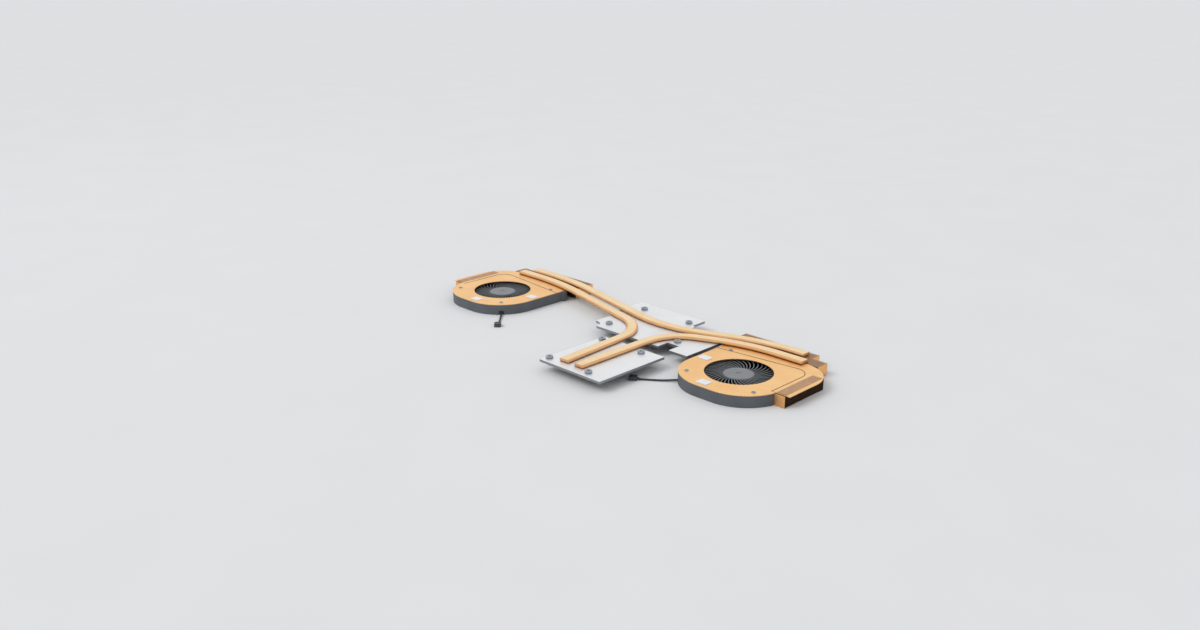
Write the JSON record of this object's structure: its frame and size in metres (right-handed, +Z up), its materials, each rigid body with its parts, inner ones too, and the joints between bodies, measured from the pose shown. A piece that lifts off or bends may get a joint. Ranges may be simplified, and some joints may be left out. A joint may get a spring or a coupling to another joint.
{
  "type": "laptop cooling fan heatsink",
  "caption": "Flat cooler for a laptop: blower fans on both sides, flattened copper heat pipes, base plates with captive screws, and copper fin stacks at the outlets.",
  "frame": {"origin": "under the middle of the cooler, on the surface that both fans rest on", "axes": "+X across the laptop, +Y to its back, +Z up, away from the chips' side of the board"},
  "size_m": [0.2786, 0.1178, 0.0087],
  "materials": {
    "black_plastic": "moulded dark grey plastic, fine grain",
    "copper": "warm satin copper sheet",
    "fin_copper": "thin folded copper, satin",
    "pipe_copper": "pressed copper tube, satin",
    "contact_copper": "milled copper",
    "nickel_plate": "pale nickel plated stamping",
    "impeller_plastic": "moulded dark plastic, semi gloss",
    "magnet": "bonded ferrite ring",
    "steel": "bright steel",
    "screw_steel": "zinc plated steel",
    "bronze": "oiled sintered bronze",
    "core_steel": "stacked silicon steel",
    "coil_copper": "enamelled winding wire",
    "board": "green circuit board",
    "foam": "pale foam tape",
    "rubber": "soft black rubber",
    "cable": "black sleeved fan wires",
    "plug_plastic": "moulded dark plug"
  },
  "bodies": {
    "heatsink": {"front_base_plate": "nickel_plate", "front_captive_screws": "screw_steel", "front_contact_block": "contact_copper", "front_retaining_clips": "steel", "front_spring_washers": "steel", "left_bearing_bush": "bronze", "left_cover_screws": "screw_steel", "left_fan_board": "board", "left_fan_cover": "copper", "left_fan_housing": "black_plastic", "left_front_pad": "foam", "left_heat_pipe": "pipe_copper", "left_lead": "cable", "left_lead_grommet": "rubber", "left_outlet_plate": "copper", "left_plug": "plug_plastic", "left_rear_inner_fins": "fin_copper", "left_rear_outer_fins": "fin_copper", "left_side_fins": "fin_copper", "left_side_pad": "foam", "left_stator_coils": "coil_copper", "left_stator_core": "core_steel", "long_heat_pipe": "pipe_copper", "rear_base_plate": "nickel_plate", "rear_captive_screws": "screw_steel", "rear_contact_block": "contact_copper", "rear_retaining_clips": "steel", "rear_spring_washers": "steel", "right_bearing_bush": "bronze", "right_cover_screws": "screw_steel", "right_fan_board": "board", "right_fan_cover": "copper", "right_fan_housing": "black_plastic", "right_front_pad": "foam", "right_heat_pipe": "pipe_copper", "right_lead": "cable", "right_lead_grommet": "rubber", "right_outlet_plate": "copper", "right_plug": "plug_plastic", "right_rear_inner_fins": "fin_copper", "right_rear_outer_fins": "fin_copper", "right_side_fins": "fin_copper", "right_side_pad": "foam", "right_stator_coils": "coil_copper", "right_stator_core": "core_steel"},
    "left_impeller": {"left_impeller": "impeller_plastic", "left_rotor_magnet": "magnet", "left_shaft": "steel"},
    "right_impeller": {"right_impeller": "impeller_plastic", "right_rotor_magnet": "magnet", "right_shaft": "steel"}
  },
  "joints": [
    {"name": "left_fan_spin", "type": "hinge", "parent": "heatsink", "child": "left_impeller", "pos_m": [-0.1, 0.00845, 0], "axis": [0, 0, 1], "continuous": true},
    {"name": "right_fan_spin", "type": "hinge", "parent": "heatsink", "child": "right_impeller", "pos_m": [0.1, 0.00365, 0], "axis": [0, 0, 1], "continuous": true}
  ]
}
